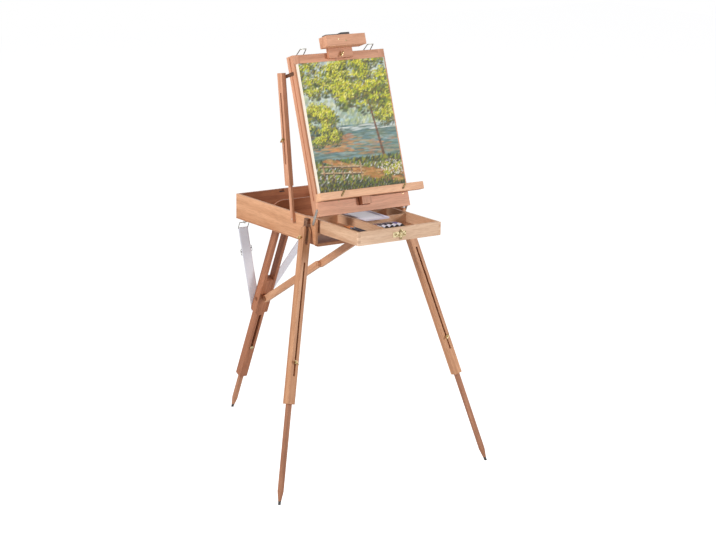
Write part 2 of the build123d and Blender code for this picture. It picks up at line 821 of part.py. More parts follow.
def rear_leg_mid():
    top = -rear_mid_top
    bar = leg_upper(rear_mid_bottom, rear_screw_down, rear_lower_travel, 2, rear_section, -1, top,
                    rear_slot_width)
    return rear_place * bar


def rear_leg_lower():
    foot = rear_total + tip_trim
    return rear_place * inner_leg(rear_lower_top, foot, rear_screw_down, -1) - ground


def rear_leg_screw():
    """Flat round-headed bolt, low enough to pass below the folded brace."""
    face = rear_section / 2 + 0.3
    z = -rear_screw_down
    bolt = rod((0, -face - flat_head_height, z), (0, -face, z), flat_head_radius)
    return rear_place * (bolt + rod((0, -face, z), (0, 1, z), pin_radius))


def rear_hinge_bracket():
    """Two steel cheeks under the case with the rear leg's pin between them."""
    inner = cheek_outer + 0.4
    outer = inner + 2.5
    y = rear_hinge_y
    bracket = block(-outer - 12, outer + 12, y - 16, y + 14, case_underside - 2, case_underside)
    for side in (-1, 1):
        x0, x1 = sorted((side * inner, side * outer))
        bracket += block(x0, x1, y - 12, y + 12, rear_hinge_height, case_underside - 2)
        bracket += rod((x0, y, rear_hinge_height), (x1, y, rear_hinge_height), 12)
    return bracket + rod((-outer, y, rear_hinge_height), (outer, y, rear_hinge_height), hinge_pin)


# Brace, two flat bars that lap at a knuckle and fold flat below the case

ear_z = brace_pin_offset
brace_low = rear_place.origin - rear_up * brace_pin_down + Vector(0, -math.cos(rear_angle), -math.sin(rear_angle)) * ear_z
brace_top = Vector(0, brace_top_back, rear_hinge_height + brace_pin_offset)
brace_run = brace_top - brace_low
folded_low_y = rear_hinge_y - brace_pin_down
flat_gap = folded_low_y - brace_top_back
brace_lower_length = (brace_run.length + flat_gap) / 2
brace_upper_length = (brace_run.length - flat_gap) / 2
brace_place = Plane(origin=brace_low, x_dir=(1, 0, 0), z_dir=brace_run)


def brace_bar(x0, x1, z0, z1, hole_z):
    half = brace_height / 2
    bar = block(x0, x1, -half, half, z0, z1)
    for z in (z0, z1):
        bar += rod((x0, 0, z), (x1, 0, z), half)
    return bar - rod((x0 - 1, 0, hole_z), (x1 + 1, 0, hole_z), hole_radius)


def brace_lower():
    bar = brace_bar(-brace_lap_gap - brace_thickness, -brace_lap_gap, 0, brace_lower_length, 0)
    head_z = brace_lower_length
    bar += rod((-brace_lap_gap - brace_thickness - 2, 0, head_z), (-brace_lap_gap - brace_thickness, 0, head_z), 5)
    return brace_place * bar


def brace_upper():
    total = brace_run.length
    return brace_place * brace_bar(brace_lap_gap, brace_lap_gap + brace_thickness, brace_lower_length, total, total)


def brace_bracket():
    """One steel ear under the case near its front; its pin stops short of the lower bar's path."""
    y, z = brace_top.Y, brace_top.Z
    x0 = brace_lap_gap + brace_thickness + 0.3
    x1 = x0 + ear_thickness
    ear = block(x0, x1, y - ear_radius, y + ear_radius, z, case_underside) + rod((x0, y, z), (x1, y, z), ear_radius)
    ear += block(x0, x1 + ear_flange, y - ear_radius, y + ear_radius, case_underside - 1.6, case_underside)
    return ear + rod((brace_lap_gap + 0.3, y, z), (x1, y, z), pin_radius)


# Shoulder strap, in a plane that lies along the back of the rear leg

strap_back = (
    rear_hinge_y - (strap_ring_height - rear_hinge_height) * math.tan(rear_angle)
    + (rear_half + strap_off_leg + strap_thickness / 2) / math.cos(rear_angle)
)
strap_place = Plane(origin=(0, strap_back, strap_ring_height), x_dir=(1, 0, 0), z_dir=rear_up)


def strap_edge(shift):
    """One long edge of the V, parallel to the middle line by the shift across it."""
    top = -ring_drop - ring_wire - 0.3
    run = strap_drop + top
    slope = math.hypot(strap_x, run) / run
    side = (-strap_x - shift * slope, top)
    return [side, (0, -strap_drop - shift * math.hypot(strap_x, run) / strap_x), (-side[0], top)]


def strap_webbing():
    """Flat webbing in a V from ring to ring behind the rear leg."""
    outer = strap_edge(strap_width / 2)
    inner = strap_edge(-strap_width / 2)
    face = make_face(
        FilletPolyline(*outer, radius=60).edges()
        + FilletPolyline(*inner, radius=25).edges()
        + [Line(outer[0], inner[0]).edge(), Line(outer[2], inner[2]).edge()]
    )
    return strap_place * extrude(Plane.XZ * face, strap_thickness / 2, both=True)


def strap_rings():
    """Rectangular wire rings in the staples."""
    half = strap_width / 2 + 2
    corners = [(-half, 0, 0), (half, 0, 0), (half, 0, -ring_drop), (-half, 0, -ring_drop)]
    rings = []
    for side in (-1, 1):
        ring = None
        for n, corner in enumerate(corners):
            piece = rod(corner, corners[(n + 1) % 4], ring_wire) + Pos(*corner) * Sphere(ring_wire)
            ring = piece if ring is None else ring + piece
        rings.append(strap_place * (Pos(side * strap_x, 0, 0) * ring))
    return Compound(rings)


def parts():
    """Every node of the easel, by name."""
    nodes = {
        "case_side_walls": case_walls(),
        "case_back_wall": case_back_wall(),
        "case_floor": case_floor(),
        "case_divider": case_divider(),
        "drawer_runners": drawer_runners(),
        "case_fittings": Compound([*hinge_plates().solids(), *arm_pivots().solids(), *case_hooks().solids()]),
        "leg_brackets": leg_brackets(),
        "rear_hinge_bracket": rear_hinge_bracket(),
        "brace_bracket": brace_bracket(),
        "drawer_front": drawer_front(),
        "drawer_sides": drawer_sides(),
        "drawer_back": drawer_back(),
        "drawer_bottom": drawer_bottom(),
        "drawer_dividers": drawer_dividers(),
        "mixing_tray": mixing_tray(),
        "paint_tubes": paint_tubes(),
        "brushes": brushes(),
        "latch_plate": latch_plate(),
        "drawer_latch": drawer_latch(),
        "lid_stiles": lid_place * lid_stiles(),
        "lid_top_rail": lid_place * lid_top_rail(),
        "lid_lower_board": lid_place * lid_lower_board(),
        "lid_panel": lid_place * lid_panel(),
        "mast_guides": lid_place * mast_guides(),
        "lid_fittings": lid_place * Compound([*arm_plates().solids(), *bail_saddles().solids()]),
        "bail_left": lid_place * bail(-1),
        "bail_right": lid_place * bail(1),
        "mast": lid_place * mast(),
        "canvas_rest": lid_place * rest_with_holes(),
        "canvas": lid_place * canvas(),
        "canvas_hook_left": lid_place * canvas_hook("left"),
        "canvas_hook_right": lid_place * canvas_hook("right"),
        "clamp_neck": lid_place * clamp_neck(),
        "clamp_head": lid_place * clamp_head(),
        "clamp_pad": lid_place * clamp_pad(),
        "clamp_screw": lid_place * clamp_screw(),
        "rear_leg_cheeks": rear_leg_cheeks(),
        "brace_ears": brace_ears(),
        "rear_leg_mid": rear_leg_mid(),
        "rear_leg_lower": rear_leg_lower(),
        "rear_leg_screw": rear_leg_screw(),
        "rear_clamp_screw": rear_clamp_screw(),
        "brace_lower": brace_lower(),
        "brace_upper": brace_upper(),
        "strap_webbing": strap_webbing(),
        "strap_rings": strap_rings(),
    }
    left_hand = {
        "arm_lower": arm_lower(),
        "arm_upper": arm_upper(),
        "arm_screw": arm_screw(),
        "front_leg_upper": front_leg_upper(),
        "front_leg_lower": front_leg_lower(),
        "front_leg_screw": front_leg_screw(),
        "front_pivot_screw": front_pivot_screw(),
    }
    for name, solid in left_hand.items():
        nodes[name + "_left"] = solid
        nodes[name + "_right"] = solid.mirror(Plane.YZ)
    return nodes


def main():
    os.makedirs("parts", exist_ok=True)
    nodes = parts()
    box = Compound(list(nodes.values())).bounding_box()
    home = Pos(-(box.min.X + box.max.X) / 2, -(box.min.Y + box.max.Y) / 2, -box.min.Z)
    for name, solid in nodes.items():
        export_step(home * solid, f"parts/{name}.step")
    print("moved by", home.position, "box", box.size)


main()
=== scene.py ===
import math
import random

import bmesh
import bpy
import numpy as np
from mathutils import Matrix, Vector


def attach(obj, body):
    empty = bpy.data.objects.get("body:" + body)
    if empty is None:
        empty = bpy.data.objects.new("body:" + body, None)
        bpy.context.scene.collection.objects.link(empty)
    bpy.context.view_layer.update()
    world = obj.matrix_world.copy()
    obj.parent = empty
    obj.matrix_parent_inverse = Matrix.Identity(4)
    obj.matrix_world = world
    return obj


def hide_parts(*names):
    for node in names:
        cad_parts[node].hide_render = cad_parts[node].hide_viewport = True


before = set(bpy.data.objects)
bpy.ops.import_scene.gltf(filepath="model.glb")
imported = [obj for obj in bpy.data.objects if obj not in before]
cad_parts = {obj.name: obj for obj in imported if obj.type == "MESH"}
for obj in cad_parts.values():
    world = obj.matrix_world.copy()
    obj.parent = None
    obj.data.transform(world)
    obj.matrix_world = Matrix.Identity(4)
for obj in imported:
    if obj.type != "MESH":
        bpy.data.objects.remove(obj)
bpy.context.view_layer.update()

# The studio: a wide pale floor, a white room that only the camera and shiny surfaces see at full
# strength, and two soft lamps, one high on the left and one in front on the right.
scene = bpy.context.scene
scene.view_settings.view_transform = "Standard"

to_frame = Vector((0, -0.335651, 0))
eye = Vector((-4.1382, -6.0233, 2.5036)) + to_frame
target = Vector((-0.058, -0.0678, 0.7815)) + to_frame
roll = math.radians(0.69)
photo_width_px, focal_length_px, sensor_mm = 716, 2058.06, 36
look = (target - eye).normalized()
level_right = look.cross(Vector((0, 0, 1))).normalized()
level_up = level_right.cross(look)
right = level_right * math.cos(roll) + level_up * math.sin(roll)
upward = level_up * math.cos(roll) - level_right * math.sin(roll)
lens = bpy.data.cameras.new("camera")
lens.sensor_width = sensor_mm
lens.lens = focal_length_px / photo_width_px * sensor_mm
lens.clip_end = 60
camera = bpy.data.objects.new("camera", lens)
camera.matrix_world = Matrix((
    (right.x, upward.x, -look.x, eye.x),
    (right.y, upward.y, -look.y, eye.y),
    (right.z, upward.z, -look.z, eye.z),
    (0, 0, 0, 1),
))
scene.collection.objects.link(camera)
scene.camera = camera


def add_node(tree, kind, at=(0, 0), **values):
    """Adds a shader node, sets its fields and its inputs by name."""
    node = tree.nodes.new(kind)
    node.location = at
    for name, value in values.items():
        if hasattr(node, name):
            setattr(node, name, value)
        else:
            node.inputs[name.replace("_", " ")].default_value = value
    return node


def new_material(name):
    """An empty material with its shader, and the two as a pair."""
    material = bpy.data.materials.new(name)
    material.use_nodes = True
    tree = material.node_tree
    shader = tree.nodes["Principled BSDF"]
    return material, tree, shader


world = bpy.data.worlds.new("room")
world.use_nodes = True
scene.world = world
room = world.node_tree
background = room.nodes["Background"]
background.inputs["Color"].default_value = (1, 1, 1, 1)
rays = add_node(room, "ShaderNodeLightPath", (-800, 0))
seen = add_node(room, "ShaderNodeMath", (-600, 0), operation="MAXIMUM")
room.links.new(rays.outputs["Is Camera Ray"], seen.inputs[0])
room.links.new(rays.outputs["Is Glossy Ray"], seen.inputs[1])
strength = add_node(room, "ShaderNodeMapRange", (-400, 0))
room_light, room_seen = 0.38, 1.0
strength.inputs["To Min"].default_value = room_light
strength.inputs["To Max"].default_value = room_seen
room.links.new(seen.outputs[0], strength.inputs["Value"])
room.links.new(strength.outputs["Result"], background.inputs["Strength"])

floor_mesh = bmesh.new()
floor_half_width = 12
bmesh.ops.create_grid(floor_mesh, x_segments=2, y_segments=2, size=floor_half_width)
floor_data = bpy.data.meshes.new("floor")
floor_mesh.to_mesh(floor_data)
floor_mesh.free()
floor = bpy.data.objects.new("floor", floor_data)
scene.collection.objects.link(floor)
floor_paint, tree, shader = new_material("floor_paint")
shader.inputs["Base Color"].default_value = (0.86, 0.86, 0.87, 1)
shader.inputs["Roughness"].default_value = 0.9
shader.inputs["Specular IOR Level"].default_value = 0.0
glow = add_node(tree, "ShaderNodeEmission", (0, 300))
glow.inputs["Color"].default_value = (1, 1, 1, 1)
rays = add_node(tree, "ShaderNodeLightPath", (-400, 300))
lift = add_node(tree, "ShaderNodeMath", (-200, 300), operation="MULTIPLY")
floor_glow = 0.66
lift.inputs[1].default_value = floor_glow
tree.links.new(rays.outputs["Is Camera Ray"], lift.inputs[0])
tree.links.new(lift.outputs[0], glow.inputs["Strength"])
both = add_node(tree, "ShaderNodeAddShader", (250, 200))
tree.links.new(shader.outputs[0], both.inputs[0])
tree.links.new(glow.outputs[0], both.inputs[1])
tree.links.new(both.outputs[0], tree.nodes["Material Output"].inputs["Surface"])
floor_data.materials.append(floor_paint)

easel_middle = Vector((0, -0.2, 0.9))
for name, place, power, size in (
    ("key_lamp", (-4.7, -0.7, 3.0), 162, 1.3),
    ("front_lamp", (3.4, -4.7, 2.5), 150, 1.1),
):
    lamp = bpy.data.lights.new(name, "AREA")
    lamp.energy = power
    lamp.size = size
    lamp_object = bpy.data.objects.new(name, lamp)
    aim = (easel_middle - Vector(place)).to_track_quat("-Z", "Y")
    lamp_object.matrix_world = Matrix.Translation(place) @ aim.to_matrix().to_4x4()
    scene.collection.objects.link(lamp_object)

# The case: oiled beech boards, finger-cut and glued, with a thin plywood floor let in below.
# Beech shows fine short flecks along the board and slow bands of paler and redder wood.


def add_noise(tree, at, vector, scale, detail=2.0, distortion=0.0):
    """The value of a noise texture laid on a vector."""
    noise = add_node(tree, "ShaderNodeTexNoise", at)
    noise.inputs["Scale"].default_value = scale
    noise.inputs["Detail"].default_value = detail
    noise.inputs["Distortion"].default_value = distortion
    tree.links.new(vector, noise.inputs["Vector"])
    return noise.outputs[0]


def add_ramp(tree, at, value, low, high):
    """A blend between two colours, each given with the value where it begins."""
    ramp = add_node(tree, "ShaderNodeValToRGB", at)
    for element, (where, colour) in zip(ramp.color_ramp.elements, (low, high)):
        element.position = where
        element.color = (*colour, 1)
    tree.links.new(value, ramp.inputs[0])
    return ramp.outputs[0]


def add_range(tree, at, value, low, high):
    """A value from 0 to 1, mapped onto another range."""
    span = add_node(tree, "ShaderNodeMapRange", at)
    span.inputs["To Min"].default_value = low
    span.inputs["To Max"].default_value = high
    tree.links.new(value, span.inputs["Value"])
    return span.outputs[0]


def add_relief(tree, shader, at, height, strength, distance):
    """Raises the shader's surface where the height is large."""
    relief = add_node(tree, "ShaderNodeBump", at)
    relief.inputs["Strength"].default_value = strength
    relief.inputs["Distance"].default_value = distance
    tree.links.new(height, relief.inputs["Height"])
    tree.links.new(relief.outputs[0], shader.inputs["Normal"])


grain_stretch = 0.06
band_scale, fleck_scale, mottle_scale = 34, 520, 5
fleck_shade = (0.72, 0.62, 0.55)
fleck_strength = 0.55


def wood(name, along, light, dark, band=1.0, rough=0.46):
    """Oiled wood whose grain runs along the given direction."""
    material, tree, shader = new_material(name)
    place = add_node(tree, "ShaderNodeTexCoord", (-1500, 0))
    turn = add_node(tree, "ShaderNodeMapping", (-1300, 0))
    turn.inputs["Rotation"].default_value = Vector(along).rotation_difference(Vector((0, 0, 1))).to_euler()
    tree.links.new(place.outputs["Object"], turn.inputs["Vector"])
    stretch = add_node(tree, "ShaderNodeMapping", (-1100, 0))
    stretch.inputs["Scale"].default_value = (1, 1, grain_stretch)
    tree.links.new(turn.outputs[0], stretch.inputs["Vector"])
    bands = add_noise(tree, (-900, 200), stretch.outputs[0], band_scale * band, 3, 0.6)
    tone = add_ramp(tree, (-700, 200), bands, (0.34, dark), (0.64, light))
    flecks = add_noise(tree, (-900, -150), stretch.outputs[0], fleck_scale)
    fleck_tone = add_ramp(tree, (-700, -150), flecks, (0.36, fleck_shade), (0.56, (1, 1, 1)))
    mottle = add_noise(tree, (-900, -450), turn.outputs[0], mottle_scale)
    mottle_tone = add_range(tree, (-700, -450), mottle, 0.86, 1.12)
    mix = add_node(tree, "ShaderNodeMix", (-450, 100), data_type="RGBA", blend_type="MULTIPLY")
    mix.inputs[0].default_value = fleck_strength
    tree.links.new(tone, mix.inputs[6])
    tree.links.new(fleck_tone, mix.inputs[7])
    shade = add_node(tree, "ShaderNodeVectorMath", (-250, 100), operation="SCALE")
    tree.links.new(mix.outputs[2], shade.inputs[0])
    tree.links.new(mottle_tone, shade.inputs["Scale"])
    tree.links.new(shade.outputs[0], shader.inputs["Base Color"])
    gloss = add_range(tree, (-450, -250), flecks, rough - 0.1, rough + 0.12)
    tree.links.new(gloss, shader.inputs["Roughness"])
    add_relief(tree, shader, (-250, -350), flecks, 0.25, 0.0003)
    shader.inputs["Specular IOR Level"].default_value = 0.35
    return material


def dress(material, *names):
    """Gives CAD nodes a material in place of the plain one."""
    for name in names:
        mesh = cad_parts[name].data
        mesh.materials.clear()
        mesh.materials.append(material)


beech_light = (0.80, 0.43, 0.24)
beech_dark = (0.60, 0.285, 0.14)
beech_long = wood("case_beech_long", (0, 1, 0), beech_light, beech_dark)
# The back wall and the divider, seen only from inside the case, get a much darker beech than the side walls:
# painted shade inside the case.
beech_cross = wood("case_beech_painted_shade", (1, 0, 0), (0.48, 0.19, 0.09), (0.34, 0.12, 0.055))
plywood_band = 0.6
case_ply = wood("case_plywood", (0, 1, 0), (0.56, 0.27, 0.14), (0.44, 0.19, 0.09), plywood_band)
dress(beech_long, "case_side_walls", "drawer_runners")
dress(beech_cross, "case_back_wall", "case_divider")
dress(case_ply, "case_floor")

# The drawer: paler unoiled beech with finger joints at its corners and a plywood bottom.
# It runs on the ledges and is held shut by a small brass turn button.
# The sides and dividers, seen only from inside the drawer, get a darker beech than the front and back:
# painted shade inside the drawer.
drawer_shaded_beech = wood("drawer_beech_painted_shade", (0, 1, 0), (0.74, 0.48, 0.31), (0.60, 0.35, 0.21))
drawer_cross = wood("drawer_beech_cross", (1, 0, 0), (0.88, 0.63, 0.45), (0.74, 0.48, 0.31))
drawer_ply = wood("drawer_plywood", (0, 1, 0), (0.60, 0.33, 0.19), (0.48, 0.24, 0.13), plywood_band)
dress(drawer_shaded_beech, "drawer_sides", "drawer_dividers")
dress(drawer_cross, "drawer_front", "drawer_back")
dress(drawer_ply, "drawer_bottom")

# The lid: a beech frame, its rails along its length, with a board across the foot and a thin
# plywood panel behind. It leans back about its brass pins, so its grain leans with it.
lean = math.radians(18.6)
lid_up = (0, math.sin(lean), math.cos(lean))
red_light = (0.76, 0.39, 0.24)
red_dark = (0.56, 0.255, 0.14)
lid_rails = wood("lid_rail_beech", lid_up, red_light, red_dark)
lid_cross = wood("lid_cross_beech", (1, 0, 0), (0.80, 0.42, 0.26), (0.61, 0.29, 0.165))
lid_ply = wood("lid_plywood", lid_up, (0.60, 0.33, 0.19), (0.50, 0.25, 0.13), plywood_band)
rest_wood = wood("rest_beech", (1, 0, 0), (0.88, 0.50, 0.29), (0.68, 0.35, 0.19))
dress(lid_rails, "lid_stiles", "mast_guides", "mast")
dress(lid_cross, "lid_top_rail", "lid_lower_board")
dress(lid_ply, "lid_panel")
dress(rest_wood, "canvas_rest")
dress(lid_cross, "clamp_head", "clamp_neck")

# The legs and arms: planed beech sections, each a channel with a slim bar sliding in it.
# Their grain runs along each leg, so every leg has its own turned copy of the wood.


def leg_direction(low, high):
    """The direction between two points of a leg."""
    return (Vector(high) - Vector(low)).normalized()


tip_height = 0.0122


def rubber_tip(material):
    """The same wood, with a dark rubber tip on the last 12 mm above the ground."""
    tree = material.node_tree
    shader = tree.nodes["Principled BSDF"]
    place = add_node(tree, "ShaderNodeTexCoord", (-1500, 700))
    split = add_node(tree, "ShaderNodeSeparateXYZ", (-1300, 700))
    tree.links.new(place.outputs["Object"], split.inputs[0])
    is_tip = add_node(tree, "ShaderNodeMath", (-1100, 700), operation="LESS_THAN")
    is_tip.inputs[1].default_value = tip_height
    tree.links.new(split.outputs["Z"], is_tip.inputs[0])
    scuff = add_noise(tree, (-1100, 900), place.outputs["Object"], 320)
    rubber = add_ramp(tree, (-900, 900), scuff, (0, (0.02, 0.02, 0.02)), (1, (0.11, 0.10, 0.095)))
    swap = add_node(tree, "ShaderNodeMix", (-100, 700), data_type="RGBA")
    tree.links.new(is_tip.outputs[0], swap.inputs[0])
    tree.links.new(shader.inputs["Base Color"].links[0].from_socket, swap.inputs[6])
    tree.links.new(rubber, swap.inputs[7])
    tree.links.new(swap.outputs[2], shader.inputs["Base Color"])
    return material


leg_band = 1.6
front_run = leg_direction((-0.461, -0.1806, 0), (-0.225, 0.030, 0.900))
for side, sign in (("left", 1), ("right", -1)):
    run = (front_run.x * sign, front_run.y, front_run.z)
    leg_wood = wood("front_leg_beech_" + side, run, (0.70, 0.37, 0.20), (0.49, 0.225, 0.11), leg_band)
    foot_wood = wood("front_foot_beech_" + side, run, (0.48, 0.22, 0.12), (0.35, 0.145, 0.075), leg_band)
    dress(leg_wood, "front_leg_upper_" + side)
    dress(rubber_tip(foot_wood), "front_leg_lower_" + side)
arm_run = leg_direction((0, 0.1395, 0.948), (0, 0.2107, 1.4556))
arm_wood = wood("arm_beech", arm_run, red_light, red_dark, leg_band)
dress(arm_wood, "arm_upper_left", "arm_upper_right", "arm_lower_left", "arm_lower_right")
rear_run = leg_direction((0, 0.915, 0), (0, 0.535, 0.828))
# The rear leg's upper parts, which stand under the case, get a darker, redder beech than the front legs:
# painted shade under the case.
rear_shaded_wood = wood("rear_leg_beech_painted_shade", rear_run, (0.52, 0.215, 0.11), (0.37, 0.14, 0.07), leg_band)
rear_foot_wood = wood("rear_foot_beech", rear_run, (0.56, 0.27, 0.15), (0.42, 0.185, 0.10), leg_band)
dress(rear_shaded_wood, "rear_leg_cheeks", "rear_leg_mid")
dress(rubber_tip(rear_foot_wood), "rear_leg_lower")
brace_run = leg_direction((0, 0.6438, 0.516), (0, 0.045, 0.861))
brace_wood = wood("brace_beech", brace_run, (0.74, 0.41, 0.24), (0.58, 0.29, 0.155), leg_band)
dress(brace_wood, "brace_lower", "brace_upper")

# The fittings: cast brass wing screws and turn buttons, and pressed steel plates and wire.
# Both are rubbed bright on their high spots and dull where fingers don't reach.


def metal(name, bright, dull, rough):
    """Worn metal with dull blotches, which are also rougher."""
    material, tree, shader = new_material(name)
    place = add_node(tree, "ShaderNodeTexCoord", (-1000, 0))
    blotch = add_noise(tree, (-800, 100), place.outputs["Object"], 140, 4)
    tone = add_ramp(tree, (-600, 100), blotch, (0.38, dull), (0.62, bright))
    tree.links.new(tone, shader.inputs["Base Color"])
    wear = add_range(tree, (-600, -150), blotch, rough + 0.14, rough - 0.08)
    tree.links.new(wear, shader.inputs["Roughness"])
    add_relief(tree, shader, (-300, -250), blotch, 0.2, 0.0001)
    shader.inputs["Metallic"].default_value = 1.0
    return material


brass = metal("worn_brass", (0.92, 0.78, 0.48), (0.30, 0.21, 0.09), 0.26)
dark_brass = metal("dark_brass", (0.26, 0.18, 0.08), (0.08, 0.055, 0.03), 0.55)
steel = metal("pressed_steel", (0.42, 0.41, 0.39), (0.20, 0.19, 0.18), 0.42)
bronzed = metal("bronzed_steel", (0.30, 0.16, 0.10), (0.15, 0.075, 0.05), 0.5)
bright_steel = metal("bright_steel", (0.78, 0.75, 0.70), (0.45, 0.43, 0.40), 0.30)
lacquered = metal("lacquered_steel", (0.46, 0.22, 0.12), (0.30, 0.13, 0.07), 0.5)
wire = metal("bright_wire", (0.46, 0.45, 0.38), (0.20, 0.19, 0.15), 0.32)
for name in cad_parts:
    if "screw" in name or "hook" in name or "latch" in name:
        dress(brass, name)
dress(dark_brass, "canvas_hook_left", "canvas_hook_right")
dress(bright_steel, "case_fittings")
dress(steel, "rear_hinge_bracket", "brace_bracket")
dress(lacquered, "brace_ears")
dress(bronzed, "leg_brackets", "lid_fittings")
dress(wire, "bail_left", "bail_right", "strap_rings")

# The clamp's pad: a strip of dark rubber, slightly dusty, glued on top of the clamp's head.
# It has a fine stipple all over.


def speckled(name, scale, dark, light, rough, relief=0.0):
    """A dull material with fine grains from dark to light, which may stand out."""
    material, tree, shader = new_material(name)
    place = add_node(tree, "ShaderNodeTexCoord", (-900, 0))
    grain = add_noise(tree, (-700, 0), place.outputs["Object"], scale)
    tone = add_ramp(tree, (-500, 0), grain, (0, dark), (1, light))
    tree.links.new(tone, shader.inputs["Base Color"])
    shader.inputs["Roughness"].default_value = rough
    if relief:
        add_relief(tree, shader, (-300, -200), grain, relief, 0.0003)
    return material


pad_rubber = speckled("pad_rubber", 900, (0.035, 0.033, 0.032), (0.13, 0.12, 0.115), 0.8, relief=0.4)
dress(pad_rubber, "clamp_pad")

# The lid's own frame, which the canvas and its small parts are built in: x across, back into the
# lid, and up along it from its lower edge.
lid_foot = Vector((0, -0.0276, 0.9861)) + to_frame
lid_back = Vector((0, math.cos(lean), -math.sin(lean)))
lid_rise = Vector((0, math.sin(lean), math.cos(lean)))


def on_lid(x, back, up):
    """A point of the lid's frame, given in millimetres, in the shared frame."""
    return lid_foot + Vector((x / 1000, 0, 0)) + lid_back * (back / 1000) + lid_rise * (up / 1000)


def piece_from(mesh, name, body, material):
    """Makes a piece from mesh code, with its body and material."""
    bmesh.ops.recalc_face_normals(mesh, faces=mesh.faces)
    data = bpy.data.meshes.new(name)
    mesh.to_mesh(data)
    mesh.free()
    data.materials.append(material)
    piece = bpy.data.objects.new(name, data)
    scene.collection.objects.link(piece)
    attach(piece, body)
    return piece


def add_hexahedron(mesh, corners):
    """Adds a closed box between eight corners, lower four first, and returns its faces."""
    points = [mesh.verts.new(corner) for corner in corners]
    order = ((3, 2, 1, 0), (4, 5, 6, 7), (0, 1, 5, 4), (1, 2, 6, 5), (2, 3, 7, 6), (3, 0, 4, 7))
    return [mesh.faces.new([points[i] for i in face]) for face in order]


# The canvas: cotton cloth, primed white, pulled over pine bars and turned in at the back. An oil
# sketch of a tree by a lake with a path and a fence is laid on it in short thick dabs of paint.
cloth_left, cloth_right = -192.0, 180.0
cloth_low, cloth_high = 79.7, 550.7
cloth_front, cloth_back = -19.7, -0.9
canvas_width, canvas_height = 372, 471
cell_width, cell_height, window_cell = 2.0, 2.004, 2
cream = (0.93, 0.85, 0.72)
dice = random.Random(11)
columns, rows = 187, 236
across, upward_mm = np.meshgrid(np.linspace(0, canvas_width, columns), np.linspace(0, canvas_height, rows))
paint = np.ones((rows, columns, 3))
ridge = np.zeros((rows, columns))


def linear(colour):
    """A screen colour from 0 to 255 as light."""
    return np.array([(value / 255) ** 2.2 for value in colour])


def dab(x, y, length, width, angle, colour, body=0.8):
    """Lays one stroke of paint with a soft edge and a raised rim; thin paint has a low body."""
    i0, i1 = max(0, int((y - length) / window_cell)), min(rows, int((y + length) / window_cell) + 2)
    j0, j1 = max(0, int((x - length) / window_cell)), min(columns, int((x + length) / window_cell) + 2)
    if i0 >= i1 or j0 >= j1:
        return
    dx, dy = across[i0:i1, j0:j1] - x, upward_mm[i0:i1, j0:j1] - y
    along = (dx * math.cos(angle) + dy * math.sin(angle)) / (length / 2)
    side = (dy * math.cos(angle) - dx * math.sin(angle)) / (width / 2)
    reach = np.sqrt(along ** 2 + side ** 2)
    cover = np.clip((1.0 - reach) * 1.7, 0, body)[..., None]
    tone = linear(colour) * dice.uniform(0.8, 1.25)
    paint[i0:i1, j0:j1] = paint[i0:i1, j0:j1] * (1 - cover) + tone * cover
    ridge[i0:i1, j0:j1] += np.clip(1.0 - reach, 0, 1) * dice.uniform(0.3, 1.0)


def dabs(count, centre, spread, length, width, angle, colours, body=0.8):
    """Many strokes scattered about a middle point."""
    for _ in range(count):
        turn, far = dice.uniform(0, math.tau), math.sqrt(dice.random())
        x = centre[0] + spread[0] * far * math.cos(turn)
        y = centre[1] + spread[1] * far * math.sin(turn)
        dab(x, y, length * dice.uniform(0.6, 1.4), width * dice.uniform(0.7, 1.3),
            angle + dice.uniform(-0.7, 0.7), dice.choice(colours), body)


sky = ((206, 220, 214), (186, 208, 206), (226, 228, 214), (170, 196, 200), (214, 214, 188))
dark_leaves = ((48, 64, 26), (34, 48, 26), (72, 86, 32), (58, 60, 32), (74, 60, 30))
mid_leaves = ((116, 132, 34), (142, 148, 38), (92, 112, 38), (154, 142, 32), (122, 108, 34))
light_leaves = ((204, 208, 40), (228, 220, 66), (180, 194, 46), (236, 230, 128), (200, 186, 34))
far_leaves = ((150, 172, 134), (134, 158, 140), (176, 184, 110), (118, 144, 124), (196, 200, 130))
lake = ((72, 112, 112), (108, 144, 146), (150, 172, 170), (50, 80, 80), (88, 108, 80), (126, 136, 104))
glint = ((204, 126, 62), (216, 156, 90), (176, 140, 84), (190, 110, 60))
earth = ((198, 140, 80), (180, 112, 60), (214, 172, 110), (150, 98, 56), (138, 122, 58))
bark = ((96, 64, 44), (72, 52, 40), (140, 92, 60))
shore_light = ((222, 224, 216), (200, 208, 206))
rail_tones = ((214, 188, 150), (180, 144, 108))
post_tones = ((204, 174, 136), (166, 128, 94), (92, 70, 56))
flowers = ((230, 230, 216), (232, 210, 200))


def clump(x, y, size):
    """One mass of leaves: a dark underside, then mid greens, then light on its upper left."""
    dabs(16, (x + size * 0.1, y - size * 0.35), (size, size * 0.7), size * 0.7, size * 0.3,
         0.5, dark_leaves, 0.7)
    dabs(26, (x, y), (size, size * 0.8), size * 0.5, size * 0.22, 0.6, mid_leaves, 0.75)
    dabs(18, (x - size * 0.2, y + size * 0.35), (size * 0.7, size * 0.45), size * 0.4, size * 0.18,
         0.7, light_leaves, 0.8)


def foliage(count, centre, spread, size):
    """Clumps from the top down, so that each hangs over the one above."""
    places = []
    for _ in range(count):
        turn, far = dice.uniform(0, math.tau), math.sqrt(dice.random())
        x = centre[0] + spread[0] * far * math.cos(turn)
        y = centre[1] + spread[1] * far * math.sin(turn)
        places.append((y, x))
    for y, x in sorted(places, reverse=True):
        clump(x, y, size * dice.uniform(0.6, 1.35))


def reflections(count, middle, spread, low, high, body):
    """Level strokes of warm light on the lake."""
    for _ in range(count):
        dab(dice.gauss(middle, spread), dice.uniform(low, high), 34, 6,
            dice.uniform(-0.08, 0.08), dice.choice(glint), body)


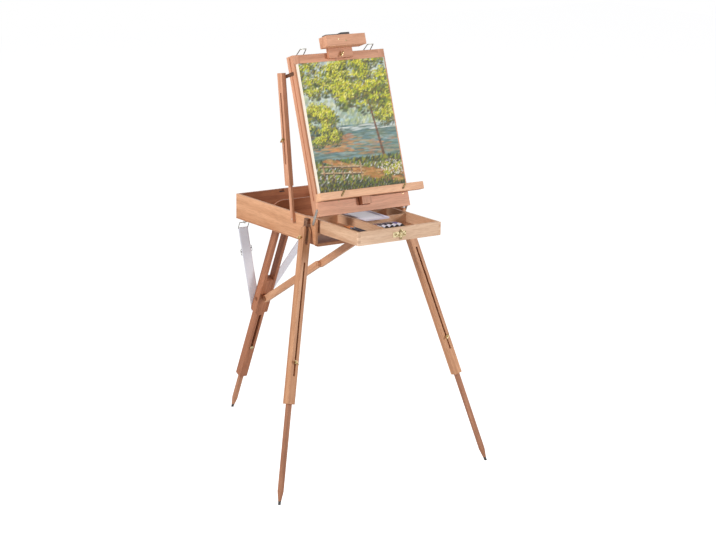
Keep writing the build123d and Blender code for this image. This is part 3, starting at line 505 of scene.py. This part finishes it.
# The sketch from back to front, in millimetres from the canvas's lower left corner: sky and far
# woods, the lake with its reflections, the trees, then the meadow, path, fence and flowers.
paint_left, paint_right = -6, 380
lake_low, sky_low, lake_high, sky_high = 96, 150, 236, 476
for y in range(sky_low, sky_high, 7):
    for x in range(paint_left, paint_right, 10):
        dab(x + dice.uniform(-6, 6), y, 40, 20, dice.uniform(-0.6, 0.6), dice.choice(sky), 0.7)
dabs(300, (150, 360), (220, 130), 26, 14, 0.7, far_leaves, 0.35)
dabs(420, (186, 270), (210, 40), 20, 9, 1.1, far_leaves, 0.5)
for y in range(lake_low, lake_high, 4):
    for x in range(paint_left, paint_right, 14):
        dab(x + dice.uniform(-8, 8), y, 56, 8, dice.uniform(-0.06, 0.06), dice.choice(lake), 0.55)
reflections(120, 110, 46, 140, 204, 0.55)
reflections(60, 260, 50, 122, 180, 0.3)
for _ in range(46):
    dab(dice.uniform(90, 380), dice.uniform(214, 232), 46, 5, 0.02, dice.choice(shore_light))
dabs(110, (60, 210), (90, 26), 12, 26, 0.0, dark_leaves, 0.35)
foliage(30, (60, 414), (120, 70), 27)
foliage(30, (330, 300), (60, 70), 24)
for step in range(46):
    dab(304 - step * 0.9, 84 + step * 6.6, 18, 17 - step * 0.22, 1.6, bark[step % 3])
for step in range(20):
    dab(278 - step * 4.5, 300 + step * 3.2, 12, 6 - step * 0.2, 2.5, bark[step % 3])
foliage(58, (262, 392), (150, 92), 28)
foliage(22, (42, 262), (64, 60), 25)
foliage(16, (60, 200), (84, 26), 18)
meadow_high, shade_high = 112, 40
for y in range(0, meadow_high, 5):
    for x in range(0, paint_right, 9):
        greens = dark_leaves if y < shade_high or dice.random() < 0.5 else mid_leaves
        dab(x + dice.uniform(-5, 5), y, 22, 9, dice.uniform(0.2, 1.3), dice.choice(greens))
path_steps = 260
for step in range(path_steps):
    bend = step / path_steps
    dab(canvas_width - 320 * bend + dice.uniform(-18, 18),
        34 + 80 * bend ** 1.6 + dice.uniform(-24, 24) * (1.1 - bend),
        30, 9, dice.uniform(-0.4, 0.1), dice.choice(earth), 0.6)
fence_fall = 0.07
for rail_low in (72, 96):
    for x in range(20, 196, 6):
        dab(x, rail_low - x * fence_fall - 4, 14, 5, -fence_fall, (70, 54, 46))
        dab(x, rail_low - x * fence_fall, 15, 6, -fence_fall, dice.choice(rail_tones), 0.9)
for post in range(5):
    for y in range(48, 110, 4):
        dab(30 + post * 40, y - post * 3, 12, 8, 1.5, dice.choice(post_tones))
foliage(12, (330, 60), (60, 26), 15)
dabs(120, (330, 66), (56, 30), 6, 5, 0.5, flowers)
dabs(260, (180, 12), (200, 18), 16, 6, 1.2, dark_leaves, 0.7)
dabs(150, (180, 16), (200, 20), 12, 5, 1.2, mid_leaves, 0.7)

painted_cloth = bmesh.new()
hue = painted_cloth.loops.layers.float_color.new("paint")
bump_layer = painted_cloth.loops.layers.uv.new("ridge")
grid = []
for i in range(rows):
    up = cloth_low + cell_height * i
    points = [on_lid(cloth_left + cell_width * j, cloth_front, up) for j in range(columns)]
    grid.append([painted_cloth.verts.new(point) for point in points])


def coloured(face, where):
    """Stores paint and ridge height on a face's corners; the cloth's own cream where unpainted."""
    for loop, spot in zip(face.loops, where):
        colour = cream if spot is None else paint[spot]
        loop[hue] = (*colour, 1)
        loop[bump_layer].uv = (0 if spot is None else min(ridge[spot], 3) / 3, 0)


for i in range(rows - 1):
    for j in range(columns - 1):
        face = painted_cloth.faces.new((grid[i][j], grid[i][j + 1], grid[i + 1][j + 1], grid[i + 1][j]))
        coloured(face, ((i, j), (i, j + 1), (i + 1, j + 1), (i + 1, j)))
rim = grid[0] + [row[-1] for row in grid[1:]] + grid[-1][-2::-1] + [row[0] for row in grid[-2:0:-1]]
bulge, corner_bulge, turned_in = 0.4, 0.5, 20
folds = ((cloth_front + 1.2, -bulge), (cloth_back - 1.2, -bulge), (cloth_back, 0.6), (cloth_back, turned_in))
ring = rim
for back, inset in folds:
    next_ring = []
    for point in rim:
        offset = point.co - on_lid(0, cloth_front, 0)
        x, up = offset.x * 1000, offset.dot(lid_rise) * 1000
        if inset < 0 and x < 0:
            x -= corner_bulge
        x = max(cloth_left + inset, min(cloth_right - inset, x))
        up = max(cloth_low + max(inset, 0.1), min(cloth_high - inset, up))
        next_ring.append(painted_cloth.verts.new(on_lid(x, back, up)))
    for n in range(len(rim)):
        other = (n + 1) % len(rim)
        face = painted_cloth.faces.new((ring[n], next_ring[n], next_ring[other], ring[other]))
        coloured(face, (None,) * 4)
    ring = next_ring
cloth_paint, tree, shader = new_material("painted_cloth")
pigment = add_node(tree, "ShaderNodeVertexColor", (-900, 200), layer_name="paint")
place = add_node(tree, "ShaderNodeTexCoord", (-1300, -200))
turn = add_node(tree, "ShaderNodeMapping", (-1150, -200))
turn.inputs["Rotation"].default_value = (lean, 0, 0)
tree.links.new(place.outputs["Object"], turn.inputs["Vector"])
threads = []
for n, direction in enumerate(("X", "Z")):
    thread = add_node(tree, "ShaderNodeTexWave", (-950, -100 - 250 * n), bands_direction=direction)
    thread.inputs["Scale"].default_value = 420
    thread.inputs["Distortion"].default_value = 1.2
    tree.links.new(turn.outputs[0], thread.inputs["Vector"])
    threads.append(thread)
weave = add_node(tree, "ShaderNodeMath", (-700, -200), operation="MAXIMUM")
tree.links.new(threads[0].outputs["Fac"], weave.inputs[0])
tree.links.new(threads[1].outputs["Fac"], weave.inputs[1])
grain = add_range(tree, (-500, 0), weave.outputs[0], 0.86, 1.04)
shade = add_node(tree, "ShaderNodeVectorMath", (-300, 150), operation="SCALE")
tree.links.new(pigment.outputs["Color"], shade.inputs[0])
tree.links.new(grain, shade.inputs["Scale"])
tree.links.new(shade.outputs[0], shader.inputs["Base Color"])
height = add_node(tree, "ShaderNodeUVMap", (-900, -650), uv_map="ridge")
split = add_node(tree, "ShaderNodeSeparateXYZ", (-700, -650))
tree.links.new(height.outputs[0], split.inputs[0])
total = add_node(tree, "ShaderNodeMath", (-500, -400), operation="MULTIPLY_ADD")
ridge_over_weave = 4.0
total.inputs[1].default_value = ridge_over_weave
tree.links.new(split.outputs[0], total.inputs[0])
tree.links.new(weave.outputs[0], total.inputs[2])
add_relief(tree, shader, (-300, -350), total.outputs[0], 0.5, 0.0003)
gloss = add_range(tree, (-300, -100), split.outputs[0], 0.72, 0.42)
tree.links.new(gloss, shader.inputs["Roughness"])
cloth = piece_from(painted_cloth, "stretched_canvas", "mast", cloth_paint)
for face in cloth.data.polygons:
    face.use_smooth = True
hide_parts("canvas")

# The stretcher: four pine bars, mitred at the corners, that the cloth is pulled over. Their
# inner edges are planed away from the cloth, which touches only the outer lip.
bars = bmesh.new()
bar_width, lip_height, cloth_gap = 40, 3, 1
low_x, high_x = cloth_left + cloth_gap, cloth_right - cloth_gap
low_z, high_z = cloth_low + cloth_gap, cloth_high - cloth_gap
outer = ((low_x, low_z), (high_x, low_z), (high_x, high_z), (low_x, high_z))
inner = []
for x, z in outer:
    inner_x = x + bar_width if x == low_x else x - bar_width
    inner_z = z + bar_width if z == low_z else z - bar_width
    inner.append((inner_x, inner_z))
for n in range(4):
    m = (n + 1) % 4
    corners = []
    for back, lip in ((cloth_back - cloth_gap, 0), (cloth_front + cloth_gap, lip_height)):
        for (x, z), shift in ((outer[n], 0), (outer[m], 0), (inner[m], lip), (inner[n], lip)):
            corners.append(on_lid(x, back + shift, z))
    add_hexahedron(bars, corners)
worn_edge = 0.0006
bmesh.ops.bevel(bars, geom=bars.edges[:], offset=worn_edge, segments=1, affect="EDGES", profile=0.5,
                material=-1)
pine = wood("stretcher_pine", lid_up, (0.84, 0.66, 0.42), (0.74, 0.53, 0.31), band=1.2, rough=0.6)
stretcher = piece_from(bars, "canvas_stretcher", "mast", pine)

# The shoulder strap: one length of pale cotton webbing, looped through a wire ring at each end,
# sewn down there, and folded flat where the V turns. Its left end runs through a slider buckle.
rear_angle = math.radians(24.66)
strap_top = Vector((0, 0.54329, 0.858)) + to_frame
strap_down = Vector((0, math.sin(rear_angle), -math.cos(rear_angle)))
strap_out = Vector((0, math.cos(rear_angle), math.sin(rear_angle)))
ring_x, ring_low, fold_low, web_width = 166.0, 26.0, 450.0, 38.0
left_end, right_end = 150.0, ring_low + 62
ring_grip, row_spacing = 2.4, 7
ripple_height, ripple_length, ripple_start = 0.35, 31, 60
web_slope = ring_x / (fold_low - ring_low)
web_stretch = math.hypot(1, web_slope)


def on_strap(x, out, down):
    """A point of the strap's plane, given in millimetres, in the shared frame."""
    return strap_top + Vector((x / 1000, 0, 0)) + strap_out * (out / 1000) + strap_down * (down / 1000)


def web_run(side, first, last, out):
    """Rows of the webbing down or up one side of the V."""
    count = max(2, int(abs(last - first) / row_spacing))
    rows_here = []
    for n in range(count + 1):
        down = first + (last - first) * n / count
        ripple = ripple_height * math.sin(down / ripple_length + side)
        ripple *= min(1, (down - ring_low) / ripple_start)
        rows_here.append((side, down, out(down) + ripple))
    return rows_here


def ease(low, high, value):
    """A smooth step from 0 to 1."""
    t = max(0, min(1, (value - low) / (high - low)))
    return t * t * (3 - 2 * t)


def web_turn(side, angles):
    """Rows of the webbing around a ring's lower wire."""
    return [(side, ring_low - ring_grip * math.sin(a), ring_grip * math.cos(a)) for a in angles]


around = (0.5, 1.0, 1.57, 2.1, 2.6)
web_rows = web_run(-1, left_end, ring_low + 2, lambda d: ring_grip - 1.1 * ease(26, 44, d))
web_rows += web_turn(-1, around)
web_rows += web_run(-1, ring_low + 2, fold_low - 1, lambda d: -ring_grip + 1.7 * ease(26, 44, d))
web_rows += [(0, fold_low, 0.1)]
web_rows += web_run(1, fold_low - 1, ring_low + 2, lambda d: 0.9 - 3.3 * ease(430, 30, d))
web_rows += web_turn(1, around[::-1])
web_rows += web_run(1, ring_low + 2, right_end, lambda d: ring_grip - 2.7 * ease(26, 44, d))
webbing = bmesh.new()
web_uv = webbing.loops.layers.uv.new("weave")
half_cells = 4
cells = 2 * half_cells
half_across = web_width / 2 * web_stretch
run, last_points, last_run = 0.0, None, 0.0
for side, down, out in web_rows:
    middle_x = side * (ring_x - max(0, down - ring_low) * web_slope)
    places = [middle_x + half_across * k / half_cells for k in range(-half_cells, half_cells + 1)]
    points = [webbing.verts.new(on_strap(x, out, down)) for x in places]
    if last_points:
        run = last_run + (points[half_cells].co - last_points[half_cells].co).length
        for k in range(cells):
            face = webbing.faces.new((last_points[k], last_points[k + 1], points[k + 1], points[k]))
            corners = ((k, last_run), (k + 1, last_run), (k + 1, run), (k, run))
            for loop, (u, v) in zip(face.loops, corners):
                loop[web_uv].uv = (u / cells, v * 1000 / web_width)
            face.smooth = True
    last_points, last_run = points, run
web_cotton, tree, shader = new_material("webbing_cotton")
spot = add_node(tree, "ShaderNodeUVMap", (-1200, 0), uv_map="weave")
cords = add_node(tree, "ShaderNodeTexWave", (-950, 150), bands_direction="X")
cords.inputs["Scale"].default_value = 3.6
tree.links.new(spot.outputs[0], cords.inputs["Vector"])
picks = add_node(tree, "ShaderNodeTexWave", (-950, -150), bands_direction="Y")
picks.inputs["Scale"].default_value = 5.5
picks.inputs["Distortion"].default_value = 0.8
tree.links.new(spot.outputs[0], picks.inputs["Vector"])
weave = add_node(tree, "ShaderNodeMath", (-700, 0), operation="MULTIPLY")
tree.links.new(cords.outputs["Fac"], weave.inputs[0])
tree.links.new(picks.outputs["Fac"], weave.inputs[1])
tone = add_ramp(tree, (-500, 100), weave.outputs[0], (0, (0.80, 0.80, 0.88)), (1, (0.98, 0.98, 1.0)))
tree.links.new(tone, shader.inputs["Base Color"])
add_relief(tree, shader, (-300, -200), weave.outputs[0], 0.6, 0.0004)
shader.inputs["Roughness"].default_value = 0.85
shader.inputs["Sheen Weight"].default_value = 0.3
web = piece_from(webbing, "strap_web", "strap", web_cotton)
thick = web.modifiers.new("thickness", "SOLIDIFY")
thick.thickness = 0.0016
thick.offset = 0
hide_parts("strap_webbing")


def wire_loop(mesh, points, radius, sides=8):
    """Adds a closed round wire through the points."""
    count = len(points)
    rings_made = []
    for n, point in enumerate(points):
        before, after = points[n - 1], points[(n + 1) % count]
        way = ((point - before).normalized() + (after - point).normalized()).normalized()
        flat = way.cross(strap_out).normalized()
        rise = way.cross(flat).normalized()
        ring_here = []
        for k in range(sides):
            around_wire = math.tau * k / sides
            sideways = flat * (radius * math.cos(around_wire))
            outward = rise * (radius * math.sin(around_wire))
            ring_here.append(mesh.verts.new(point + sideways + outward))
        rings_made.append(ring_here)
    for n in range(count):
        one, two = rings_made[n], rings_made[(n + 1) % count]
        for k in range(sides):
            face = mesh.faces.new((one[k], one[(k + 1) % sides], two[(k + 1) % sides], two[k]))
            face.smooth = True


def on_web(side, across_mm, out, down):
    """A point at a distance across the webbing, square to its run."""
    middle_x = side * (ring_x - (down - ring_low) * web_slope)
    along = down + side * across_mm * web_slope / web_stretch
    return on_strap(middle_x + across_mm / web_stretch, out, along)


# The strap's small parts: a bent-wire slider that grips the doubled webbing, and the thread that
# sews its ends down, in a box with a cross.
slider = bmesh.new()
slider_down, slider_half_width, slider_bend, wire_radius = 139, 21, 2.5, 0.0012
for half_height, corner_height, out in ((12, 2.5, 0.6), (1.2, 0.4, 3.0)):
    outline = []
    corners = ((1, 1), (-1, 1), (-1, -1), (1, -1))
    for start, (x_side, y_side) in enumerate(corners):
        for step in range(4):
            angle = math.radians(90 * start + 30 * step)
            x = x_side * slider_half_width + slider_bend * math.cos(angle)
            y = y_side * half_height + corner_height * math.sin(angle)
            outline.append(on_web(-1, x, out, slider_down - y))
    wire_loop(slider, outline, wire_radius)
strap_slider = piece_from(slider, "strap_slider", "strap", steel)
stitches = bmesh.new()
seam_width, seam_height, stitch_length, stitch_half_width = 14, 24, 3.2, 0.35
seam_lines = (
    ((-seam_width, 0), (seam_width, 0)),
    ((seam_width, 0), (seam_width, seam_height)),
    ((seam_width, seam_height), (-seam_width, seam_height)),
    ((-seam_width, seam_height), (-seam_width, 0)),
    ((-seam_width, 0), (seam_width, seam_height)),
    ((seam_width, 0), (-seam_width, seam_height)),
)
for side, low in ((-1, 46), (1, 46), (-1, 128)):
    for (x0, y0), (x1, y1) in seam_lines:
        count = int(math.hypot(x1 - x0, y1 - y0) / stitch_length)
        wide = Vector((y1 - y0, x0 - x1)).normalized() * stitch_half_width
        for n in range(count):
            shares = ((n + 0.15) / count, (n + 0.8) / count)
            ends = [(x0 + (x1 - x0) * t, y0 + (y1 - y0) * t) for t in shares]
            corners = []
            for out in (2.1, 2.6):
                for (x, y), sign in ((ends[0], 1), (ends[1], 1), (ends[1], -1), (ends[0], -1)):
                    corners.append(on_web(side, x + wide.x * sign, out, low + y + wide.y * sign))
            add_hexahedron(stitches, corners)
thread_cotton = speckled("thread_cotton", 2200, (0.46, 0.44, 0.52), (0.80, 0.79, 0.86), 0.7)
strap_thread = piece_from(stitches, "strap_thread", "strap", thread_cotton)

# The drawer's contents: a pale enamelled mixing tray, paint tubes with black caps and a dark band
# each, and two brushes that are dark towards the front and orange behind.
shift_y = to_frame.y


def add_steps(tree, at, value, stops):
    """A colour for each stretch of the value, with a sharp change at each stop."""
    ramp = add_node(tree, "ShaderNodeValToRGB", at)
    ramp.color_ramp.interpolation = "CONSTANT"
    while len(ramp.color_ramp.elements) < len(stops):
        ramp.color_ramp.elements.new(0.5)
    for element, (where, colour) in zip(ramp.color_ramp.elements, stops):
        element.position = where
        element.color = (*colour, 1)
    tree.links.new(value, ramp.inputs[0])
    return ramp.outputs[0]


def along_axis(tree, at, value, low, high):
    """A place between two limits, as a value from 0 to 1."""
    scale = add_node(tree, "ShaderNodeMapRange", at)
    scale.inputs["From Min"].default_value = low
    scale.inputs["From Max"].default_value = high
    tree.links.new(value, scale.inputs["Value"])
    return scale.outputs[0]


def add_bands(tree, split, under, bands, band_x, band_y):
    """One band of its own colour on each tube: bands side by side in X, all at one place in Y."""
    pick = along_axis(tree, (-800, 300), split.outputs[0], *band_x)
    stops = [(n / len(bands), colour) for n, colour in enumerate(bands)]
    colours = add_steps(tree, (-600, 300), pick, stops)
    inside = add_node(tree, "ShaderNodeMath", (-800, 500), operation="COMPARE")
    inside.inputs[1].default_value, inside.inputs[2].default_value = band_y
    tree.links.new(split.outputs[1], inside.inputs[0])
    mix = add_node(tree, "ShaderNodeMix", (-400, 200), data_type="RGBA")
    tree.links.new(inside.outputs[0], mix.inputs[0])
    tree.links.new(under, mix.inputs[6])
    tree.links.new(colours, mix.inputs[7])
    return mix.outputs[2]


def enamel(name, axis, stops, speckle, rough, bands=None, band_x=None, band_y=None):
    """Lacquer whose colour changes at set places along one axis, with fine wear."""
    material, tree, shader = new_material(name)
    place = add_node(tree, "ShaderNodeTexCoord", (-1200, 0))
    split = add_node(tree, "ShaderNodeSeparateXYZ", (-1000, 0))
    tree.links.new(place.outputs["Object"], split.inputs[0])
    low, high = stops[0][0], stops[-1][0] + 0.001
    where = along_axis(tree, (-800, 0), split.outputs[axis], low, high)
    shares = [((at - low) / (high - low), colour) for at, colour in stops]
    colour = add_steps(tree, (-600, 0), where, shares)
    if bands:
        colour = add_bands(tree, split, colour, bands, band_x, band_y)
    wear = add_noise(tree, (-600, -250), place.outputs["Object"], 260, 4)
    worn = add_range(tree, (-400, -250), wear, 1 - speckle, 1 + speckle)
    shade = add_node(tree, "ShaderNodeVectorMath", (-200, 0), operation="SCALE")
    tree.links.new(colour, shade.inputs[0])
    tree.links.new(worn, shade.inputs["Scale"])
    tree.links.new(shade.outputs[0], shader.inputs["Base Color"])
    add_relief(tree, shader, (-200, -300), wear, 0.3, 0.0002)
    gloss = add_range(tree, (-200, -500), wear, rough + 0.08, rough - 0.08)
    tree.links.new(gloss, shader.inputs["Roughness"])
    return material


black, lead_grey = (0.02, 0.02, 0.022), (0.72, 0.70, 0.78)
cap_back, tube_back = -0.14 + shift_y, -0.1245 + shift_y
tube_bands = (
    (0.30, 0.06, 0.05),
    (0.10, 0.09, 0.10),
    (0.03, 0.03, 0.06),
    (0.04, 0.03, 0.03),
    (0.12, 0.10, 0.28),
)
tubes = enamel("tube_enamel", 1, ((cap_back, black), (tube_back, lead_grey)), 0.1, 0.34,
               tube_bands, (-0.00825, 0.10425), (-0.088 + shift_y, 0.014))
dress(tubes, "paint_tubes")
bristle_front, ferrule_front, handle_front = -0.212 + shift_y, -0.052 + shift_y, -0.040 + shift_y
brush_colours = (
    (bristle_front, (0.03, 0.032, 0.05)),
    (ferrule_front, (0.20, 0.22, 0.26)),
    (handle_front, (0.74, 0.26, 0.07)),
)
dress(enamel("brush_lacquer", 1, brush_colours, 0.14, 0.28), "brushes")
tray_colours = ((0.9, (0.66, 0.64, 0.76)), (1.2, (0.70, 0.68, 0.80)))
dress(enamel("tray_enamel", 2, tray_colours, 0.07, 0.22), "mixing_tray")

# Small screws and nails, all brass: two in the front of the clamp's head, and two in the lid's
# lower board just below the rest. Each head is a low cone with a shallow socket.
lid_front = -lid_back


def screw_heads(name, body, centres, radius, height):
    """Low heads, each with a shallow socket, on faces that look to the front of the lid."""
    mesh = bmesh.new()
    turn = lid_front.to_track_quat("Z", "Y").to_matrix().to_4x4()
    for centre in centres:
        place = Matrix.Translation(centre + lid_front * height / 2) @ turn
        made = bmesh.ops.create_cone(mesh, cap_ends=True, segments=20, radius1=radius, radius2=radius * 0.72,
                                     depth=height, matrix=place)
        faces = {face for vert in made["verts"] for face in vert.link_faces}
        top = max(faces, key=lambda face: face.calc_center_median().dot(lid_front))
        bmesh.ops.inset_region(mesh, faces=[top], thickness=radius * 0.35, depth=0)
        bmesh.ops.translate(mesh, verts=top.verts[:], vec=lid_front * (-height * 0.45))
    piece_from(mesh, name, body, brass)


clamp_face, nail_up = -64, 46.5
clamp_places = [on_lid(-33, clamp_face, 621), on_lid(-2.5, clamp_face, 615)]
nail_places = [on_lid(-107, 0, nail_up), on_lid(174, 0, nail_up)]
screw_heads("clamp_head_screws", "clamp", clamp_places, radius=0.0030, height=0.0009)
screw_heads("board_nails", "lid", nail_places, radius=0.0026, height=0.0012)

# The notch in the back wall, where the mast lies when the lid is shut: near-black strips are laid
# over its step, so that the notch shows black; their tops stand at three heights in turn.
notch_strips = bmesh.new()
notch_y0, notch_y1 = 0.5393 + shift_y, 0.5466 + shift_y
strips_left, strips_low, strips_high = -0.0117, 0.9593, 0.9612
strip_width, strip_rise = 0.00195, 0.0002
for n in range(12):
    x0 = strips_left + n * strip_width
    x1 = x0 + strip_width
    outline = ((x0, notch_y0), (x1, notch_y0), (x1, notch_y1), (x0, notch_y1))
    levels = (strips_low, strips_high + strip_rise * (n % 3))
    add_hexahedron(notch_strips, [(x, y, z) for z in levels for x, y in outline])
bmesh.ops.remove_doubles(notch_strips, verts=notch_strips.verts[:], dist=0.00001)
notch_black = speckled("notch_black", 1500, (0.008, 0.008, 0.008), (0.05, 0.048, 0.046), 0.95)
piece_from(notch_strips, "notch_black_strips", "case", notch_black)
